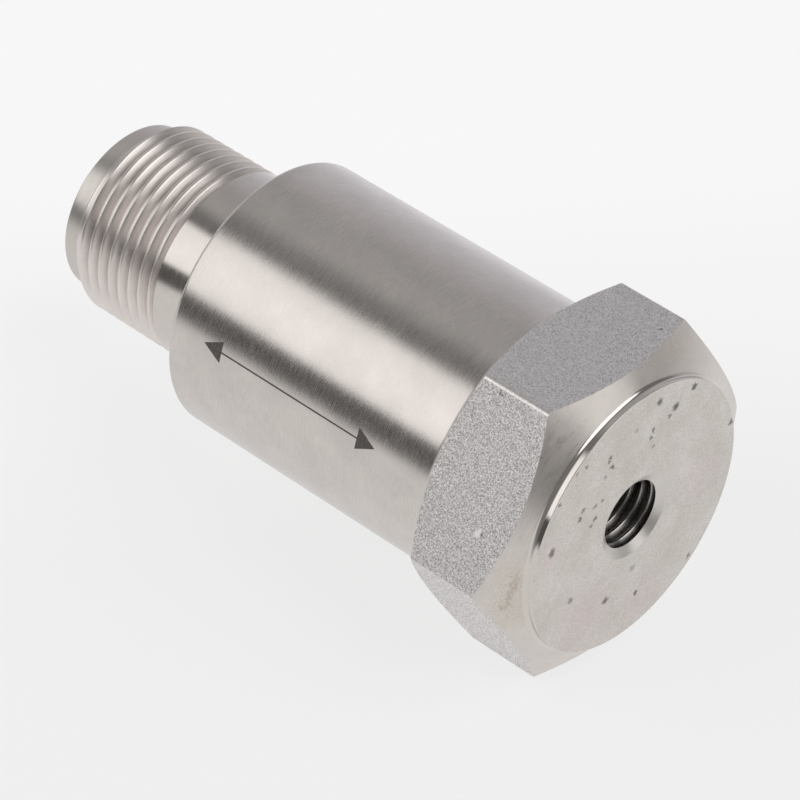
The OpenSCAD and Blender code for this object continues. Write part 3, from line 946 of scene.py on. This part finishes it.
# %% Worn face
LAPPED_DULL, LAPPED_CLEAN = (0.605, 0.568, 0.526, 1), (0.702, 0.666, 0.63, 1)
BLUSH_COLOUR = (0.67, 0.577, 0.582, 1)
PORE_COLOUR = (0.38, 0.357, 0.334, 1)
STAIN_COLOUR = (0.1, 0.093, 0.088, 1)


def lapped_finish():
    """Lapped steel with a fine grain, faint clouds and dark stains."""
    material, tree = new_finish("lapped_face_steel", Metallic=1.0)
    clouds = noise(tree, place(tree), scale=260.0, detail=5.0, roughness=0.65)
    fine = noise(tree, place(tree), scale=12000.0, detail=3.0, roughness=0.7)
    shade = ramp(tree, clouds, start=0.36, end=0.64)
    clean = blend_colour(tree, shade, LAPPED_DULL, LAPPED_CLEAN)
    warm = blend_colour(tree, patches(tree, blushes, ragged=1.5, core=0.0), clean, BLUSH_COLOUR)
    pores = spread(tree, cells(tree, scale=15000.0), first=0.0, last=0.42, start=0.3, end=0.7)
    grained = blend_colour(tree, pores, warm, PORE_COLOUR)
    stained = blend_colour(tree, marks(tree, stain_spots, ragged=0.6), grained, STAIN_COLOUR)
    gloss = spread(tree, fine, first=0.34, last=0.5, start=0.3, end=0.7)
    set_shader(tree, Base_Color=stained, Roughness=gloss, Normal=bump(tree, fine, strength=0.2))
    return material


face_finish = lapped_finish()

# %% [markdown]
# ## Giving the finishes out
#
# The housing's faces already hold the number of their finish, so its materials only have to come in the
# same order. The connector's faces are told apart by height: the neck, the thread and the pilot ring lie
# one above the other.

# %% Finishes of the housing and the connector
housing_finishes = {
    BODY: body_finish, FLAT: flat_finish, CONE: cone_finish, FACE: face_finish,
    LIP: lip_finish, HOLE: hole_finish, EDGE: edge_finish, SINK: sink_finish,
}
for surface in sorted(housing_finishes):
    housing.data.materials.append(housing_finishes[surface])
stud_thread.data.materials.append(hole_finish)
barrel_thread.data.materials.append(thread_finish)
connector.data.materials.clear()
for finish in (neck_finish, thread_finish, pilot_finish):
    connector.data.materials.append(finish)
for polygon in connector.data.polygons:
    polygon.material_index = sum(polygon.center.z > start * MM for start in (thread_start_z, thread_end_z))
for piece in (housing, connector):
    print(piece.name, "has", len(piece.data.materials), "finishes")

# %% [markdown]
# ## The laser mark
#
# The laser oxidises the steel instead of removing it, so the mark is a dark dull film that still shows a
# little of the metal below. That is why it is only partly metallic, with a mottled colour.

# %% Laser mark
OXIDE_DARK, OXIDE_PALE = (0.085, 0.074, 0.067, 1), (0.14, 0.123, 0.112, 1)


def mark_finish():
    """Dark oxide film."""
    material, tree = new_finish("laser_oxide", Metallic=0.6, Roughness=0.5)
    shade = ramp(tree, noise(tree, place(tree), scale=6000.0, detail=3.0), start=0.3, end=0.7)
    set_shader(tree, Base_Color=blend_colour(tree, shade, OXIDE_DARK, OXIDE_PALE))
    return material


arrow.data.materials.append(mark_finish())

# %% [markdown]
# ## Inside the sensor
#
# The sensing stack, the circuit board and the leads are closed in, but they are part of the model. A finish
# of its own for each would hardly be seen, so each slot of the record gets a plain one with a little
# variation, from its recorded colour and kind.

# %% Finishes of the inner pieces
METAL_CLASSES = ("brushed_steel", "brass", "cast_iron")
METAL_ROUGHNESS, PLAIN_ROUGHNESS = (0.2, 0.4), (0.35, 0.6)
SHADE_SHARE = 0.8
slot_facts = {material["slot"]: material for material in frame["record"]["materials"]}


def slot_finish(slot):
    """A finish from the record's colour and material class."""
    fact = slot_facts[slot]
    metal = fact["class"] in METAL_CLASSES
    material, tree = new_finish(slot + "_finish", Metallic=1.0 if metal else 0.0)
    colour = list(fact["base_color"][:3]) + [1]
    shade = [channel * SHADE_SHARE for channel in colour[:3]] + [1]
    cloud = noise(tree, place(tree), scale=900.0, detail=4.0)
    gloss = spread(tree, cloud, *(METAL_ROUGHNESS if metal else PLAIN_ROUGHNESS))
    clouded = blend_colour(tree, cloud, shade, colour)
    set_shader(tree, Base_Color=clouded, Roughness=gloss, Normal=bump(tree, cloud, strength=0.1))
    return material


slot_finishes = {slot: slot_finish(slot) for slot in slot_facts}
for part in frame["record"]["subparts"]:
    node_object = frame["nodes"][part["node"]]
    node_object.data.materials.clear()
    node_object.data.materials.append(slot_finishes[part["material_slot"]])
for contact in contacts:
    contact.data.materials.append(slot_finishes["contact_metal"])
print(len(slot_finishes), "slot finishes")

# %% [markdown]
# ## The studio
#
# Polished metal shows the room more than itself. Lamps could light it, but a world drawn with nodes shows
# in the metal exactly what is drawn. It is a ring of light around the sensor's axis: a pale table below, a
# dark gap at the horizon, a wide soft box above it and a grey ceiling. The ring is a colour ramp over the
# angle from straight up, one for the connector's side and one for the mounting face's side.

# %% Ring of light
UPPER_RING = [
    (-180, 0.85, 1.0), (-162, 0.88, 1.0), (-101, 0.88, 1.0), (-95, 0.1, 1.0), (-76.5, 0.1, 1.0),
    (-72.5, 1.34, 1.0), (-50, 1.42, 1.0), (-27, 1.25, 1.0), (-19, 0.2, 1.0), (-8, 0.24, 1.0),
    (6, 0.48, 1.0), (38, 0.44, 1.02), (62, 0.58, 1.04), (80, 0.66, 1.07), (97, 0.75, 1.07),
    (115, 0.9, 1.03), (125, 0.88, 1.0), (158, 0.81, 1.0), (180, 0.85, 1.0),
]
LOWER_RING = [
    (-180, 0.9, 1.0), (-112, 0.88, 1.0), (-95, 0.25, 1.0), (-10, 0.22, 1.0), (48, 0.2, 1.0), (70, 0.2, 1.0),
    (84, 0.5, 1.0), (97, 0.6, 1.0), (110, 0.84, 1.0), (120, 0.93, 1.0), (180, 0.9, 1.0),
]
LOWER_END, UPPER_START = -0.1, 0.2

scene = bpy.context.scene
scene.world = bpy.data.worlds.new("studio")
scene.world.use_nodes = True
sky = scene.world.node_tree
sky.nodes.clear()


def light_ring(angle, stops):
    """A colour ramp round the axis: each stop is an angle in degrees, a level and how blue it is."""
    colours = add_node(sky, "ShaderNodeValToRGB", {0: angle})
    elements = colours.color_ramp.elements
    for degrees, level, blue in stops[1:-1]:
        elements.new((degrees + 180) / 360)
    for element, (degrees, level, blue) in zip(elements, stops):
        element.color = (level, level, level * blue, 1)
    return colours.outputs["Color"]


direction = add_node(sky, "ShaderNodeTexCoord").outputs["Generated"]
axes = add_node(sky, "ShaderNodeSeparateXYZ", {0: direction}).outputs
upward = maths(sky, "MULTIPLY", axes["Y"], -1.0)
ring_angle = ramp(sky, maths(sky, "ARCTAN2", axes["X"], upward), start=-math.pi, end=math.pi)
connector_side = ramp(sky, axes["Z"], start=LOWER_END, end=UPPER_START)
lower_light, upper_light = light_ring(ring_angle, LOWER_RING), light_ring(ring_angle, UPPER_RING)
rings = blend_colour(sky, connector_side, lower_light, upper_light)
print("the rings have", len(LOWER_RING), "and", len(UPPER_RING), "stops")

# %% [markdown]
# ## Doorway, backdrop and soft boxes
#
# The mounting face looks along the axis, where a ring has no say. The room has a dark doorway there, and a
# dim backdrop at the connector's end. Two round soft boxes light the face and the lower cone: each is a cap
# on the sky, drawn where the direction is close enough to its middle. The camera itself sees plain pale
# paper.

# %% Rest of the room
DOORWAY, DOORWAY_START, DOORWAY_END = (0.2, 0.2, 0.2, 1), -0.955, -0.98
BACKDROP, BACKDROP_START, BACKDROP_END = (0.7, 0.7, 0.7, 1), 0.86, 0.92
SOFT_BOXES = [((0.2, -0.72, -0.66), 25, 2.1), ((0.4, -0.2, -0.89), 11.5, 0.97)]
SOFT_EDGE = 3
PAPER = (0.92, 0.92, 0.92, 1)

room = blend_colour(sky, ramp(sky, axes["Z"], start=DOORWAY_START, end=DOORWAY_END), rings, DOORWAY)
room = blend_colour(sky, ramp(sky, axes["Z"], start=BACKDROP_START, end=BACKDROP_END), room, BACKDROP)
for middle, reach, level in SOFT_BOXES:
    towards = vector_maths(sky, "DOT_PRODUCT", direction, Vector(middle).normalized()).outputs["Value"]
    rim_cosine = math.cos(math.radians(reach + SOFT_EDGE))
    inside = ramp(sky, towards, start=rim_cosine, end=math.cos(math.radians(reach)))
    room = blend_colour(sky, inside, room, (level, level, level, 1))
camera_ray = add_node(sky, "ShaderNodeLightPath").outputs["Is Camera Ray"]
lights = add_node(sky, "ShaderNodeBackground", {"Color": room, "Strength": 1.0}).outputs[0]
paper = add_node(sky, "ShaderNodeBackground", {"Color": PAPER, "Strength": 1.0}).outputs[0]
seen = add_node(sky, "ShaderNodeMixShader", {0: camera_ray, 1: lights, 2: paper}).outputs[0]
add_node(sky, "ShaderNodeOutputWorld", {0: seen})
print("the room has", len(SOFT_BOXES), "soft boxes and", len(sky.nodes), "nodes")

# %% [markdown]
# ## The table
#
# The table is a pale sheet under the supporting flat. Lit by the room alone, it would be as uneven as the
# room, so most of it glows and a fifth is matte, which shows a trace of the sensor's shadow. It glows a
# little less under the sensor than in front of it and behind it, which is a painted shadow. Mirror rays
# pass through the sheet, because the ring of light has a table of its own, and so do rays from behind it.

# %% Table
table_half = 0.6
table_gap = 0.02
table_place = Vector((0, flat_distance + table_gap, shoulder_z / 2)) * MM

table_shape = bmesh.new()
bmesh.ops.create_grid(table_shape, x_segments=1, y_segments=1, size=table_half)
bmesh.ops.rotate(table_shape, verts=table_shape.verts, cent=(0, 0, 0),
                 matrix=Matrix.Rotation(math.pi / 2, 3, "X"))
bmesh.ops.translate(table_shape, verts=table_shape.verts, vec=table_place)
table_mesh = bpy.data.meshes.new("table")
table_shape.to_mesh(table_mesh)
table_shape.free()
table = bpy.data.objects.new("table", table_mesh)
scene.collection.objects.link(table)
print("the table is", 2 * table_half, "m wide")

# %% Paper of the table
GLOW_UNDER, GLOW_BEHIND, GLOW_FRONT = 0.925, 1.005, 0.99
behind_start, behind_end = 15 * MM, 55 * MM
front_start, front_end = -60 * MM, -22 * MM
VIEWING_WAY = (0.6, 0.0, 0.8)
MATTE_SHARE = 0.2
MATTE_COLOUR = (0.9, 0.9, 0.9, 1)

table_paper = bpy.data.materials.new("table_paper")
table_paper.use_nodes = True
sheet = table_paper.node_tree
sheet.nodes.clear()
along = vector_maths(sheet, "DOT_PRODUCT", place(sheet), VIEWING_WAY).outputs["Value"]
# The dip of the glow under the sensor is a painted shadow.
level = largest(sheet, [spread(sheet, along, GLOW_UNDER, GLOW_BEHIND, start=behind_start, end=behind_end),
                        spread(sheet, along, GLOW_FRONT, GLOW_UNDER, start=front_start, end=front_end)])
glow = add_node(sheet, "ShaderNodeEmission", {"Color": (1, 1, 1, 1), "Strength": level}).outputs[0]
matte = add_node(sheet, "ShaderNodeBsdfDiffuse", {"Color": MATTE_COLOUR}).outputs[0]
shadowed = add_node(sheet, "ShaderNodeMixShader", {0: MATTE_SHARE, 1: glow, 2: matte}).outputs[0]
clear = add_node(sheet, "ShaderNodeBsdfTransparent").outputs[0]
mirror_ray = add_node(sheet, "ShaderNodeLightPath").outputs["Is Glossy Ray"]
from_behind = add_node(sheet, "ShaderNodeNewGeometry").outputs["Backfacing"]
hidden = maths(sheet, "MAXIMUM", mirror_ray, from_behind)
surface = add_node(sheet, "ShaderNodeMixShader", {0: hidden, 1: shadowed, 2: clear}).outputs[0]
add_node(sheet, "ShaderNodeOutputMaterial", {0: surface})
table_mesh.materials.append(table_paper)
print("the sheet's glow runs from", GLOW_UNDER, "to", GLOW_BEHIND)

# %% [markdown]
# ## Colour
#
# The Standard view transform shows the levels of the room as they were set, where a filmic one would grey
# the white paper.

# %% View transform, and the end
scene.view_settings.view_transform = "Standard"
